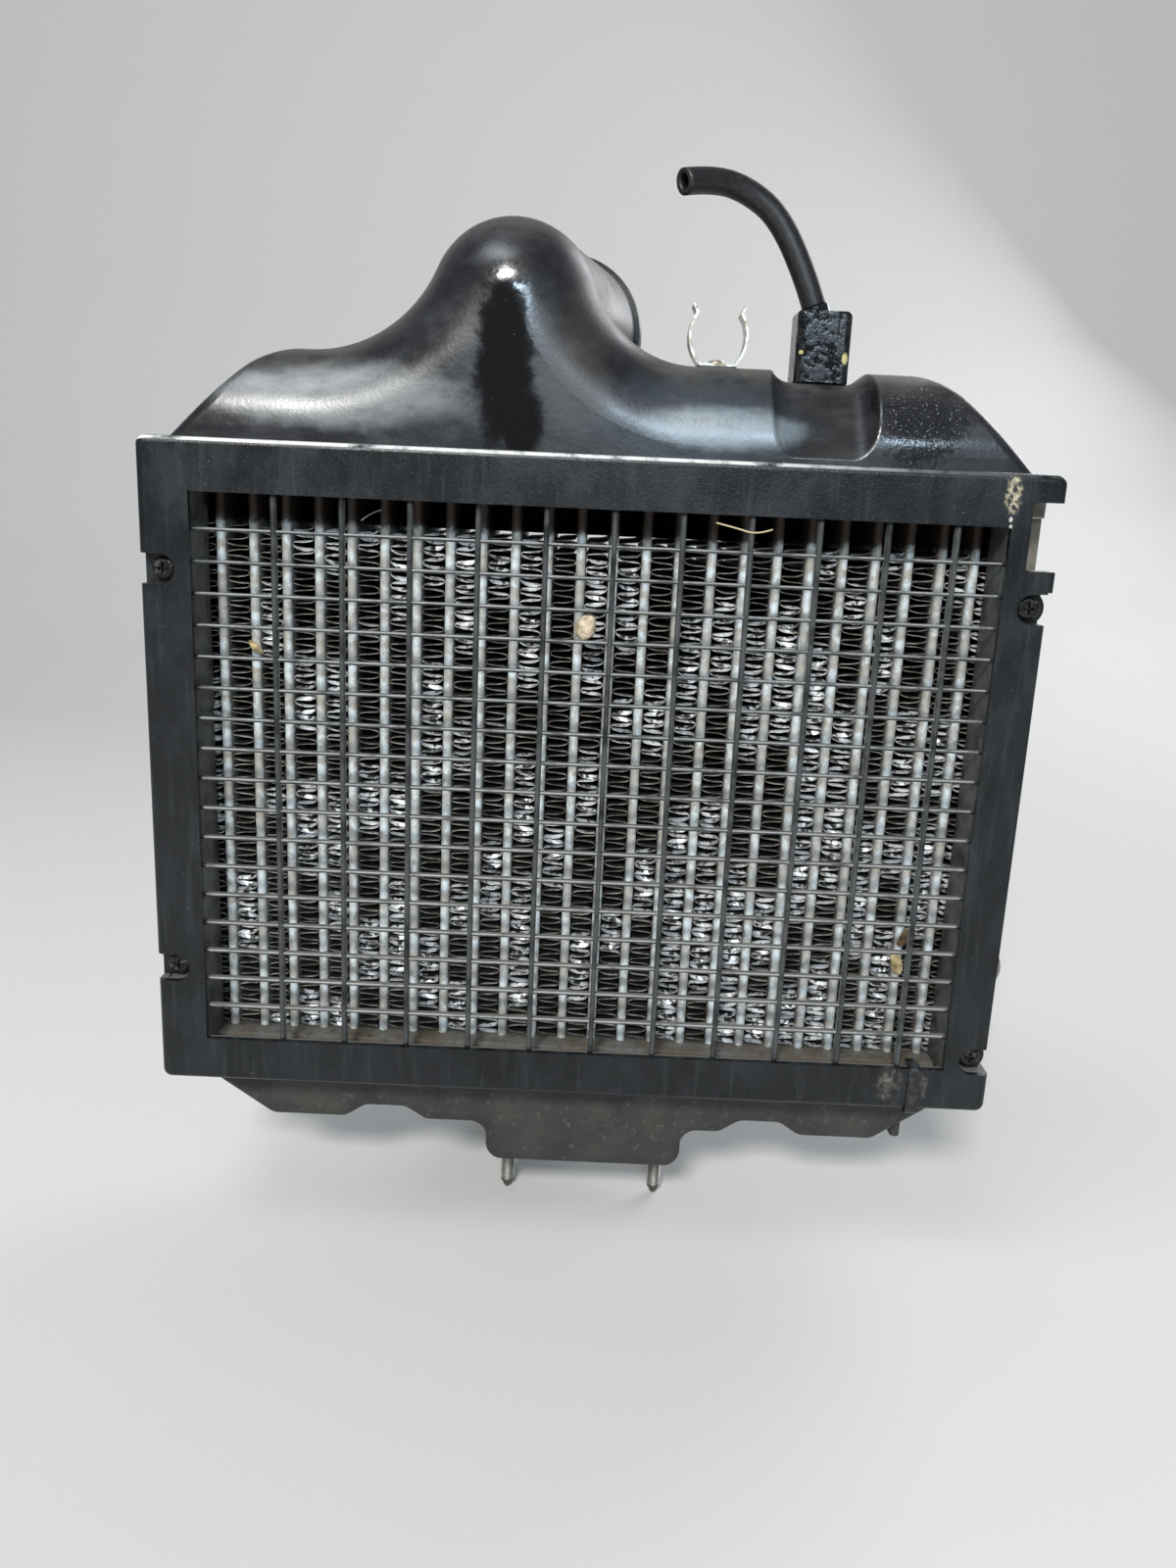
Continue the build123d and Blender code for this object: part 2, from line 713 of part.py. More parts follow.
def neck_form(inset):
    """Neck that turns the foot's oblong outlet round. With the wall's thickness as inset it is the bore."""
    rear = bottom_deep / 2
    start = rear - (2 if inset else 1) * outlet_wall
    oblong = (neck_wide - 2 * inset, neck_high - 2 * inset, neck_high / 2 - inset - neck_flat / 2)
    with BuildPart() as neck:
        with BuildSketch(rearward(start, neck_z)):
            RectangleRounded(*oblong)
        extrude(amount=rear - start)
        with BuildSketch(rearward(rear, neck_z)):
            RectangleRounded(*oblong)
        with BuildSketch(rearward(outlet_from, outlet_z)):
            Circle(outlet_r - inset)
        loft()
        with BuildSketch(rearward(outlet_from, outlet_z)):
            Circle(outlet_r - inset)
        extrude(amount=outlet_long)
    return neck.part


stud_places = [(-stud_spacing / 2, 0), (stud_spacing / 2, 0)]

with BuildPart() as bottom_tank:
    with BuildSketch(level(-foot_to)):
        RectangleRounded(foot_wide, foot_deep, foot_r)
    extrude(amount=foot_high)
    add(bottom_tank_form(0))
    add(neck_form(0))
    with BuildSketch(rearward(outlet_reach - bead_back - bead_r, outlet_z)):
        Circle(outlet_r + bead_r)
    extrude(amount=2 * bead_r)
    add(bottom_tank_form(tank_wall), mode=Mode.SUBTRACT)
    add(neck_form(outlet_wall), mode=Mode.SUBTRACT)
    # Locating rib under the right-hand slope
    rib_low = rib_rise - bottom_drop
    rib_root = -bottom_drop + (bottom_slope_run - rib_inset) * bottom_slope_high / bottom_slope_run
    with BuildSketch(level(rib_low)):
        with Locations((tank_wide / 2 - rib_inset, -bottom_deep / 2 + edge_r + rib_deep / 2)):
            RectangleRounded(rib_thick, rib_deep, (rib_thick - rib_flat) / 2)
    extrude(amount=rib_root + tank_wall / 2 - rib_low)
    # Bosses that the studs are moulded into
    with BuildSketch(Plane.XY.offset(tank_wall / 2)):
        with Locations(*stud_places):
            Circle(stud_boss_r)
    extrude(amount=stud_set + tank_wall / 2)
    with BuildSketch(Plane.XY):
        with Locations(*stud_places):
            Circle(stud_head_r + stud_clear)
    extrude(amount=stud_set + stud_clear, mode=Mode.SUBTRACT)
bottom_tank.part.label = "bottom_tank"
export_step(bottom_tank.part, "parts/bottom_tank.step")

with BuildPart() as mount_studs:
    with BuildSketch(Plane.XY):
        with Locations(*stud_places):
            Circle(stud_head_r)
    extrude(amount=stud_set)
    with BuildSketch(Plane.XY):
        with Locations(*stud_places):
            Circle(stud_r)
    extrude(amount=stud_point - stud_long)
    with BuildSketch(Plane.XY.offset(stud_point - stud_long)):
        with Locations(*stud_places):
            Circle(stud_r)
    extrude(amount=-stud_point, taper=stud_taper)
    fillet(mount_studs.edges().group_by(Axis.Z)[0], stud_tip_r)
mount_studs.part.label = "mount_studs"
export_step(mount_studs.part, "parts/mount_studs.step")

# ------------------------------------------------------------------ connector and hose

socket_foot = scoop_floor + core_gap
plug_foot = socket_foot + socket_high + core_gap

# The hose is straight runs joined by arcs, each as large as its two runs allow
runs = [Vector(*b) - Vector(*a) for a, b in zip(hose_points, hose_points[1:])]
hose_radii = [0.45 * min(a.length, b.length) / tan(radians(a.get_angle(b)) / 2)
              for a, b in zip(runs, runs[1:])]
hose_start = Plane(origin=hose_points[0], z_dir=runs[0])
print("hose radii", [round(radius, 1) for radius in hose_radii])

with BuildPart() as connector_socket:
    with BuildSketch(level(socket_foot)):
        with Locations((plug_x, plug_y)):
            RectangleRounded(plug_wide, plug_deep, plug_round)
    extrude(amount=socket_high)
    with BuildSketch(level(socket_foot)):
        with Locations((plug_x, plug_y)):
            Circle(spigot_r)
    extrude(amount=-spigot_long)
connector_socket.part.label = "connector_socket"
export_step(connector_socket.part, "parts/connector_socket.step")

with BuildPart() as connector_plug:
    with BuildSketch(level(plug_foot)):
        with Locations((plug_x, plug_y)):
            RectangleRounded(plug_wide, plug_deep, plug_round)
    extrude(amount=plug_high)
    fillet(connector_plug.edges().group_by(Axis.Z)[-1], plug_round / 2)
    # Recess of the latch in the upper front
    with BuildSketch(facing(plug_y - plug_deep / 2)):
        with Locations((plug_x, plug_foot + plug_high - latch_high / 2)):
            Rectangle(latch_wide, latch_high)
    extrude(amount=-latch_deep, mode=Mode.SUBTRACT)
    # Slanted collar that the hose butts on, and its nipple inside the hose
    with BuildSketch(hose_start):
        Circle(collar_r)
    extrude(amount=-collar_long)
    with BuildSketch(hose_start):
        Circle(hose_bore - core_gap)
    extrude(amount=nipple_long)
connector_plug.part.label = "connector_plug"
export_step(connector_plug.part, "parts/connector_plug.step")

with BuildPart() as vacuum_hose:
    with BuildLine() as hose_path:
        FilletPolyline(*hose_points, radius=hose_radii)
    with BuildSketch(hose_start):
        Circle(hose_r)
        Circle(hose_bore, mode=Mode.SUBTRACT)
    sweep()
hose_length = hose_path.wire().length
print("hose length", round(hose_length, 1), "volume share",
      round(vacuum_hose.part.volume / (pi * (hose_r ** 2 - hose_bore ** 2) * hose_length), 4))
vacuum_hose.part.label = "vacuum_hose"
export_step(vacuum_hose.part, "parts/vacuum_hose.step")

# ------------------------------------------------------------------ clip, rivet and strip

with BuildPart() as spring_clip:
    with BuildSketch(facing(clip_y - clip_wide / 2)):
        with BuildLine():
            foot_z = clip_floor + core_gap + clip_strip / 2
            left = [(clip_x - clip_tip, foot_z + clip_tip_up), (clip_x - clip_neck, foot_z + clip_neck_up),
                    (clip_x - clip_bulge, foot_z + clip_bulge_up), (clip_x - clip_base, foot_z)]
            right = [(2 * clip_x - x, z) for x, z in left]
            Line(left[0], left[1])
            ThreePointArc(left[1], left[2], left[3])
            Line(left[3], right[3])
            ThreePointArc(right[3], right[2], right[1])
            Line(right[1], right[0])
        trace(line_width=clip_strip)
    extrude(amount=-clip_wide)
    with BuildSketch(level(clip_floor)):
        with Locations((clip_x, clip_y)):
            Circle(rivet_r + stud_clear)
    extrude(amount=clip_strip + 2 * core_gap, mode=Mode.SUBTRACT)
spring_clip.part.label = "spring_clip"
export_step(spring_clip.part, "parts/spring_clip.step")

with BuildPart() as clip_rivet:
    with BuildSketch(level(clip_floor + clip_strip + 2 * core_gap)):
        with Locations((clip_x, clip_y)):
            Circle(rivet_head_r)
    extrude(amount=rivet_head_high)
    fillet(clip_rivet.edges().group_by(Axis.Z)[-1], rivet_head_round)
    with BuildSketch(level(clip_floor + clip_strip + 2 * core_gap)):
        with Locations((clip_x, clip_y)):
            Circle(rivet_r)
    extrude(amount=-(clip_strip + 2 * core_gap + rivet_long - core_gap))
clip_rivet.part.label = "clip_rivet"
export_step(clip_rivet.part, "parts/clip_rivet.step")

with BuildPart() as retaining_strip:
    strip_top = -opening_high / 2 + strip_clear + strip_thick / 2
    strip_low = frame_bottom - strip_clear - strip_thick / 2
    strip_front = face_y - strip_clear - strip_thick / 2
    with BuildSketch(Plane.YZ.offset(grille_x + opening_wide / 2 - strip_inset - strip_wide / 2)):
        with BuildLine():
            FilletPolyline((face_y + strip_back, core_z + strip_top), (strip_front, core_z + strip_top),
                           (strip_front, core_z + strip_low), (face_y + strip_back, core_z + strip_low),
                           radius=strip_bend)
        trace(line_width=strip_thick)
    extrude(amount=strip_wide)
retaining_strip.part.label = "retaining_strip"
export_step(retaining_strip.part, "parts/retaining_strip.step")
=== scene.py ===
import math
import random

import bmesh
import bpy
from mathutils import Matrix, Vector, noise


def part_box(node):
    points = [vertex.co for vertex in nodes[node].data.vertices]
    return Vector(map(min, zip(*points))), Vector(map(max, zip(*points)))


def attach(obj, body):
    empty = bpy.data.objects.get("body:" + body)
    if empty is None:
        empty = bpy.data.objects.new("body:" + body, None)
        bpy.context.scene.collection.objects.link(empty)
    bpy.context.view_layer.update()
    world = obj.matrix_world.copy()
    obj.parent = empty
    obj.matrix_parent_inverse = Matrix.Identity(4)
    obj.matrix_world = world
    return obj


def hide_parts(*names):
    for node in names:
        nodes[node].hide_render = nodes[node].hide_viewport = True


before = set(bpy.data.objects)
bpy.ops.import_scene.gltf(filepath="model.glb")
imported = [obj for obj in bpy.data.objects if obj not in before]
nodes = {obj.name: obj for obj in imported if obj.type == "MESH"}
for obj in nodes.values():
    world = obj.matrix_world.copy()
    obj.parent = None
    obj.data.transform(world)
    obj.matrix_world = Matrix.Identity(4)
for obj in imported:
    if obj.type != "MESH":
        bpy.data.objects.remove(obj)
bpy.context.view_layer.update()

# ---------------------------------------------------------------- camera, floor and lamps
# The cooler stands upright on its two studs on a pale floor that curves up behind it. A small softbox
# above and behind the camera lights its front, with a weak cool one beside it. Wide ones hang overhead
# and behind the cooler.

camera = bpy.data.objects.new("camera", bpy.data.cameras.new("camera"))
camera.location = (-0.00487, -0.41113, 0.23859)
camera.rotation_euler = [math.radians(angle) for angle in (76.255, -2.502, 0.477)]
camera.data.sensor_fit = "VERTICAL"
camera.data.sensor_height = 36.0
camera.data.lens = 27.045
camera.data.clip_start = 0.01
bpy.context.collection.objects.link(camera)
bpy.context.scene.camera = camera
bpy.context.scene.view_settings.view_transform = "Standard"


class Wire:
    """A value in a shader. Arithmetic on it adds Math nodes to its tree."""

    def __init__(self, finish, socket):
        self.finish = finish
        self.socket = socket

    def math(self, operation, *others):
        return self.finish.add("ShaderNodeMath", {"operation": operation}, self, *others)

    def __add__(self, other):
        return self.math("ADD", other)

    def __mul__(self, other):
        return self.math("MULTIPLY", other)

    def __sub__(self, other):
        return self.math("SUBTRACT", other)

    def __rsub__(self, other):
        return self.finish.add("ShaderNodeMath", {"operation": "SUBTRACT"}, other, self)

    __radd__ = __add__

    def least(self, other):
        return self.math("MINIMUM", other)

    def most(self, other):
        return self.math("MAXIMUM", other)

    def step(self, low, high, to_low=0.0, to_high=1.0):
        """Turns the stretch from low to high into a smooth one from to_low to to_high."""
        settings = {"interpolation_type": "SMOOTHSTEP"}
        return self.finish.add("ShaderNodeMapRange", settings, self, low, high, to_low, to_high)


class Finish:
    """A surface finish. Its nodes are added by one method, and it ends in one glossy shader."""

    def __init__(self, name, **values):
        self.material = bpy.data.materials.new(name)
        self.material.use_nodes = True
        self.tree = self.material.node_tree
        self.shader = self.tree.nodes["Principled BSDF"]
        self.place = self.add("ShaderNodeTexCoord", output="Object")
        self.set(**values)

    def add(self, kind, settings=None, *inputs, output=0, **named):
        """Adds a node, sets its settings, then fills its sockets in order and by name."""
        made = self.tree.nodes.new(kind)
        for key, value in (settings or {}).items():
            setattr(made, key, value)
        for key, value in list(enumerate(inputs)) + list(named.items()):
            self.fill(made.inputs[key], value)
        return Wire(self, made.outputs[output])

    def fill(self, socket, value):
        if isinstance(value, Wire):
            self.tree.links.new(value.socket, socket)
        elif socket.type == "RGBA" and len(value) == 3:
            socket.default_value = (*value, 1.0)
        else:
            socket.default_value = value

    def set(self, **values):
        """Fills sockets of the shader. An underscore in a key stands for a space."""
        for key, value in values.items():
            self.fill(self.shader.inputs[key.replace("_", " ")], value)

    def mapped(self, stretch, shift):
        """Place, stretched and then shifted along X, Y and Z."""
        return self.add("ShaderNodeMapping", Vector=self.place, Location=shift, Scale=stretch)

    def noise(self, scale, detail=3.0, rough=0.55, stretch=(1, 1, 1), shift=(0, 0, 0)):
        """Noise from 0 to 1 with scale lumps a metre."""
        return self.add("ShaderNodeTexNoise", Vector=self.mapped(stretch, shift), Scale=scale,
                        Detail=detail, Roughness=rough)

    def axis(self, letter):
        """Place along X, Y or Z in metres."""
        return self.add("ShaderNodeSeparateXYZ", None, self.place, output=letter)

    def facing(self, letter):
        """How far the surface faces along X, Y or Z, from -1 to 1."""
        normal = self.add("ShaderNodeTexCoord", output="Normal")
        return self.add("ShaderNodeSeparateXYZ", None, normal, output=letter)

    def spot(self, centre, reach, ragged=0.0, scale=300):
        """Patch that is 1 round its centre and fades to 0 at its reach along X, Y and Z, in metres."""
        inside = self.mapped([1 / out for out in reach], [-at / out for at, out in zip(centre, reach)])
        away = self.add("ShaderNodeVectorMath", {"operation": "LENGTH"}, inside, output="Value")
        return (away + (self.noise(scale, 5, 0.6) - 0.5) * ragged).step(0.55, 1.0, 1.0, 0.0)

    def mix(self, share, first, second):
        """Colour between two colours."""
        made = self.tree.nodes.new("ShaderNodeMix")
        made.data_type = "RGBA"
        for socket, value in ((made.inputs[0], share), (made.inputs[6], first), (made.inputs[7], second)):
            self.fill(socket, value)
        return Wire(self, made.outputs[2])

    def painted(self, name):
        """Value that the mesh carries under a name."""
        return self.add("ShaderNodeAttribute", {"attribute_name": name}, output="Fac")

    def bump(self, height, depth):
        """Bump of the shader's normal, with depth in metres."""
        self.set(Normal=self.add("ShaderNodeBump", Height=height, Distance=depth, output="Normal"))


weld = 1e-6         # points nearer than this are joined


def finished_mesh(name, made):
    """Mesh of a bmesh, which it frees."""
    mesh = bpy.data.meshes.new(name)
    made.to_mesh(mesh)
    made.free()
    return mesh


floor_wide = 6.0
floor_line = [(-1.6, 0.0), (0.9, 0.0), (1.15, 0.03), (1.38, 0.13), (1.55, 0.30), (1.66, 0.55),
              (1.7, 0.9), (1.7, 2.6)]
stud_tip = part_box("mount_studs")[0][2]
bm = bmesh.new()
previous = None
for y, z in floor_line:
    corner = bm.verts.new((-floor_wide / 2, y, stud_tip + z))
    if previous:
        bm.edges.new((previous, corner))
    previous = corner
swept = bmesh.ops.extrude_edge_only(bm, edges=bm.edges[:])["geom"]
far_side = [part for part in swept if isinstance(part, bmesh.types.BMVert)]
bmesh.ops.translate(bm, vec=(floor_wide, 0, 0), verts=far_side)
bmesh.ops.recalc_face_normals(bm, faces=bm.faces[:])
floor_mesh = finished_mesh("floor", bm)
floor = bpy.data.objects.new("floor", floor_mesh)
bpy.context.collection.objects.link(floor)
for face in floor_mesh.polygons:
    face.use_smooth = True
floor_paint = Finish("floor_paint", Base_Color=(0.62, 0.61, 0.59), Roughness=0.9)
floor_mesh.materials.append(floor_paint.material)

room = bpy.data.worlds.new("room")
room.use_nodes = True
room_light = room.node_tree.nodes["Background"]
room_light.inputs["Color"].default_value = (0.84, 0.90, 1.0, 1.0)
room_light.inputs["Strength"].default_value = 0.24
bpy.context.scene.world = room

cooler_middle = Vector((0.0, 0.0, 0.17))


def softbox(name, place, size, watts, colour):
    """Rectangular lamp at place, turned towards the middle of the cooler."""
    lamp = bpy.data.lights.new(name, "AREA")
    lamp.shape = "RECTANGLE"
    lamp.size, lamp.size_y = size
    lamp.energy = watts
    lamp.color = colour
    made = bpy.data.objects.new(name, lamp)
    made.location = place
    made.rotation_euler = (cooler_middle - made.location).to_track_quat("-Z", "Y").to_euler()
    bpy.context.collection.objects.link(made)


softbox("key_lamp", (-0.44, -2.10, 1.63), (0.50, 0.34), 62.0, (1.0, 0.99, 0.96))
softbox("cool_lamp", (0.30, -2.30, 1.00), (0.70, 0.16), 16.0, (0.66, 0.84, 1.0))
softbox("ceiling_lamp", (-0.50, -0.65, 1.70), (0.9, 0.5), 9.0, (0.90, 0.95, 1.0))
softbox("rear_lamp", (1.0, 1.15, 1.0), (0.9, 0.9), 12.0, (0.95, 0.97, 1.0))

# ---------------------------------------------------------------- vacuum hose
# A short length of limp rubber hose, 8 mm across with a 5 mm bore. It is pushed on the plug's nipple,
# rises to the left and bends over under its own weight. Its far end is open.

hose_r = 0.004
hose_wall = 0.0015
hose_route = [
    (0.0634, 0.0030, 0.3018), (0.0598, 0.0030, 0.3112), (0.0500, 0.0032, 0.3286),
    (0.0395, 0.0024, 0.3359), (0.0278, -0.0017, 0.3382), (0.0176, -0.0078, 0.3354),
]


def smooth_run(name, places, steps):
    """Guide curve that runs smoothly along places, in so many steps between two of them."""
    curve = bpy.data.curves.new(name, "CURVE")
    curve.dimensions = "3D"
    spline = curve.splines.new("NURBS")
    spline.points.add(len(places) - 1)
    for point, place in zip(spline.points, places):
        point.co = (*place, 1.0)
    spline.order_u = 3
    spline.use_endpoint_u = True
    curve.resolution_u = steps
    return bpy.data.objects.new(name, curve)


hose_guide = smooth_run("hose_route", hose_route, 16)
hose_line = bpy.data.meshes.new_from_object(hose_guide)
hose_guide.data.bevel_depth = hose_r
hose_guide.data.bevel_resolution = 8
hose_mesh = bpy.data.meshes.new_from_object(hose_guide)
bpy.data.objects.remove(hose_guide)
bm = bmesh.new()
bm.from_mesh(hose_mesh)
bmesh.ops.remove_doubles(bm, verts=bm.verts[:], dist=weld)
bmesh.ops.recalc_face_normals(bm, faces=bm.faces[:])
for face in bm.faces:
    face.smooth = True
bm.to_mesh(hose_mesh)
bm.free()


def piece(name, mesh, finish, slot, *replaced):
    """A new object of the cooler on its one body, in place of the CAD nodes named last."""
    made = bpy.data.objects.new(name, mesh)
    bpy.context.collection.objects.link(made)
    mesh.materials.clear()
    mesh.materials.append(finish.material)
    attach(made, "root")
    if replaced:
        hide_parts(*replaced)
    return made


hose_rubber = Finish("hose_rubber", Roughness=0.45)
scuffs = hose_rubber.noise(900, 4).step(0.45, 0.75)
hose_rubber.set(Base_Color=hose_rubber.mix(scuffs, (0.006, 0.006, 0.007), (0.022, 0.022, 0.021)))
hose_rubber.bump(hose_rubber.noise(2500, 2), 0.00006)
vacuum_hose = piece("limp_hose", hose_mesh, hose_rubber, "hose_rubber", "vacuum_hose")
hose_skin = vacuum_hose.modifiers.new("wall", "SOLIDIFY")
hose_skin.thickness = hose_wall
hose_skin.offset = -1.0

# ---------------------------------------------------------------- core tubes
# Twenty-four flat tubes of drawn aluminium stand between the headers and carry the charge air. They are
# a pale bluish grey with a film of beige road dust, and dark brown above the top of the fins.


def dress(node_names, finish):
    """Gives CAD nodes a finish."""
    for name in node_names:
        mesh = nodes[name].data
        mesh.materials.clear()
        mesh.materials.append(finish.material)


tube_metal = Finish("tube_metal", Metallic=0.15, Roughness=0.55)
tube_dust = tube_metal.noise(240, 5, 0.65).step(0.42, 0.70)
tube_stains = tube_metal.noise(420, 6, 0.7, stretch=(1, 1, 0.35), shift=(3, 1, 0)).step(0.56, 0.78)
tube_bare = tube_metal.noise(170, 4, 0.6, shift=(5, 2, 1)).step(0.46, 0.58)
tube_colour = tube_metal.mix(tube_bare, (0.40, 0.405, 0.385), (0.66, 0.73, 0.75))
tube_colour = tube_metal.mix(tube_dust * 0.8, tube_colour, (0.40, 0.355, 0.28))
tube_colour = tube_metal.mix(tube_stains * 0.8, tube_colour, (0.12, 0.09, 0.065))
fin_low, fin_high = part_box("cooling_fins")
dark_top_from = fin_high[2] - 0.001           # dark brown from here up
# The tubes turn dark brown above the top of the fins.
dark_top = tube_metal.axis("Z") + (tube_metal.noise(300, 4) - 0.5) * 0.006
dark_top = dark_top.step(dark_top_from, dark_top_from + 0.003)
tube_metal.set(Base_Color=tube_metal.mix(dark_top, tube_colour, (0.050, 0.037, 0.028)))
tube_metal.bump(tube_metal.noise(900, 4), 0.0002)
tube_names = sorted(name for name in nodes if name.startswith("charge_tube"))
dress(tube_names, tube_metal)

# ---------------------------------------------------------------- folded fins
# Between the tubes runs thin aluminium strip, folded back and forth and brazed at its folds. Grit and
# jet washing have bent its front edges down, most of all low on the right, where they shine.

fin_legs = 88
fin_sheet = 0.00022
fin_bend = 0.0014               # the bent edge, measured back from the front
leg_parts = 6
leg_slope, leg_turn = 0.22, 0.28            # rise along a leg and at its folds, in legs
leg_jitter = 0.22
leg_pitch = (fin_high[2] - fin_low[2]) / fin_legs
brazed_sides = [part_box("left_side_plate")[1][0]]
for name in tube_names:
    brazed_sides += [corner[0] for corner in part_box(name)]
brazed_sides.append(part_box("right_side_plate")[0][0])
last_strip = len(tube_names)
fin_chance = random.Random(11)


def fold_strip(mesh, number, left, right):
    """Adds one strip, folded up between the surfaces at left and right."""
    middle, half = (left + right) / 2, (right - left) / 2 - fin_sheet
    right_share = number / last_strip
    bends, lifts, crushes = [], [], []
    for leg in range(fin_legs):
        low_right = -0.06 + 0.22 * right_share + 0.14 * right_share * (1 - leg / fin_legs)
        lump = noise.noise(Vector((number * 3.7, 0.4, leg * 0.075))) + low_right
        crushes.append(min(max((lump - 0.05) / 0.20, 0.0), 1.0))
        bends.append(math.radians(fin_chance.uniform(-3, 14) + crushes[leg] * fin_chance.uniform(10, 62)))
        lifts.append(fin_chance.uniform(-leg_jitter, leg_jitter))
    made = bmesh.ops.create_grid(mesh, x_segments=2, y_segments=fin_legs * leg_parts, size=0.5)
    for vertex in made["verts"]:
        column = round((vertex.co.x + 0.5) * 2)
        run = (vertex.co.y + 0.5) * fin_legs
        leg = min(int(run + 0.01), fin_legs - 1)
        share = 2 * (run - leg) - 1
        across = math.sin(math.pi / 2 * share) * (1 if leg % 2 else -1)
        flat = 1 - across ** 2
        rise = leg + 0.5 + leg_slope * share + leg_turn * share ** 5 + lifts[leg] * flat
        z = fin_low[2] + leg_pitch * rise
        y = (fin_low[1], fin_low[1] + fin_bend, fin_high[1])[column]
        if column == 0:
            angle = bends[leg] * flat * (1 + 0.25 * across)
            z -= math.sin(angle) * fin_bend
            y += (1 - math.cos(angle)) * fin_bend
        vertex.co = (middle + half * across, y, z)
        vertex[crushed] = crushes[leg]
        vertex[folded] = abs(across)


bm = bmesh.new()
crushed = bm.verts.layers.float.new("crushed")
folded = bm.verts.layers.float.new("folded")
for number, (left, right) in enumerate(zip(brazed_sides[::2], brazed_sides[1::2])):
    fold_strip(bm, number, left, right)
bmesh.ops.recalc_face_normals(bm, faces=bm.faces[:])
fin_mesh = finished_mesh("folded_fins", bm)

fin_metal = Finish("fin_metal")
fin_edge = fin_metal.axis("Y").step(fin_low[1] + 0.0003, fin_low[1] + 0.0009, 1.0, 0.0)
# Painted shade: the fins darken towards their folds beside the tubes, and their bent edges shine less
# there.
fin_fold_shade = fin_metal.painted("folded").step(0.72, 0.98)
fin_back = fin_metal.axis("Y").step(fin_high[1] - 0.003, fin_high[1] - 0.001)
fin_bent = fin_metal.painted("crushed").step(0.15, 0.6)
fin_bent = fin_bent * fin_metal.axis("Y").step(fin_low[1] + 0.0011, fin_low[1] + 0.0019, 1.0, 0.0)
fin_bent = fin_bent * fin_metal.noise(420, 4).step(0.42, 0.54) * (1 - fin_fold_shade * 0.6)
fin_dust = fin_metal.noise(210, 5, 0.65).step(0.34, 0.62)
fin_colour = fin_metal.mix(fin_dust.most(fin_fold_shade), (0.34, 0.33, 0.30), (0.085, 0.070, 0.052))
# Painted shade: the fins are near black except at their front edges and, half as much, at their rear edges.
# The near black stands for the shade inside the core.
fin_colour = fin_metal.mix(fin_edge.most(fin_back * 0.5), (0.010, 0.009, 0.008), fin_colour)
fin_metal.set(Base_Color=fin_metal.mix(fin_bent, fin_colour, (0.90, 0.91, 0.92)),
              Metallic=fin_bent * 0.45, Roughness=0.75 - fin_bent * 0.38)
folded_fins = piece("folded_fins", fin_mesh, fin_metal, "fin_aluminium", "cooling_fins")
fin_skin = folded_fins.modifiers.new("sheet", "SOLIDIFY")
fin_skin.thickness = fin_sheet
fin_skin.offset = 0.0

# ---------------------------------------------------------------- headers, side plates and gaskets
# Pressed aluminium pans crimped over the feet of the tanks, and folded side plates brazed to the core,
# all dull with dust. Black rubber rings seal the tanks.

plate_metal = Finish("plate_metal", Metallic=0.35, Roughness=0.55)
plate_dust = plate_metal.noise(90, 6, 0.7).step(0.35, 0.65)
plate_stains = plate_metal.noise(260, 6, 0.7, shift=(2, 0, 5)).step(0.50, 0.72)
plate_colour = plate_metal.mix(plate_dust, (0.20, 0.20, 0.19), (0.150, 0.125, 0.092))
plate_metal.set(Base_Color=plate_metal.mix(plate_stains * 0.7, plate_colour, (0.06, 0.048, 0.036)))
plate_metal.bump(plate_metal.noise(900, 4), 0.0002)
dress(["top_header", "bottom_header", "left_side_plate", "right_side_plate"], plate_metal)

seal_rubber = Finish("seal_rubber", Roughness=0.7)
seal_dust = seal_rubber.noise(300, 5).step(0.45, 0.7)
seal_rubber.set(Base_Color=seal_rubber.mix(seal_dust, (0.012, 0.012, 0.012), (0.07, 0.06, 0.05)))
seal_rubber.bump(seal_rubber.noise(1200, 3), 0.0001)
dress(["top_gasket", "bottom_gasket"], seal_rubber)

# ---------------------------------------------------------------- top tank
# Moulded of black glass-filled nylon, with the bell and its hose port in one piece. An oily film shines
# on it in patches, a black run of fresh oil comes down the front of the bell, and dust lies on its top.

tank_plastic = Finish("tank_plastic", Specular_IOR_Level=0.66)
film = tank_plastic.noise(38, 6, 0.62, stretch=(1, 1, 1.6)).step(0.36, 0.68)
smears = tank_plastic.noise(150, 5, 0.65, stretch=(0.5, 1, 1)).step(0.45, 0.72)
grime = (film * 0.6 + smears * 0.5).least(1.0)
oil = tank_plastic.spot((-0.0358, -0.024, 0.2790), (0.0112, 0.030, 0.034), 0.75, 190)
oil_foot = tank_plastic.spot((-0.0300, -0.027, 0.2600), (0.0085, 0.012, 0.014), 0.5, 260)
oil = oil.most(oil_foot)
# Painted glints: pale specks in the oil.
painted_oil_glints = tank_plastic.noise(1300, 2).step(0.72, 0.75) * oil
wet_right = tank_plastic.spot((0.0960, -0.020, 0.2650), (0.018, 0.030, 0.016), 0.9, 500)
droplets_and_glints = tank_plastic.noise(1300, 3).step(0.62, 0.66)
# Painted reflection: a faint bluish tint on the right of the body.
painted_blue_reflection = tank_plastic.spot((0.0250, -0.018, 0.2620), (0.044, 0.030, 0.019), 0.6, 120)
brown_film = tank_plastic.spot((-0.0120, -0.010, 0.2850), (0.012, 0.030, 0.024), 0.9, 200)
# Painted highlight: a broad pale band along the left of the body, broken up by noise.
left_painted_highlight = tank_plastic.spot((-0.0860, -0.020, 0.2660), (0.050, 0.030, 0.0125), 0.5, 90)
left_painted_highlight = left_painted_highlight * tank_plastic.noise(210, 6, 0.65, stretch=(0.6, 1, 1)).step(0.20, 0.62, 0.45, 1.0)
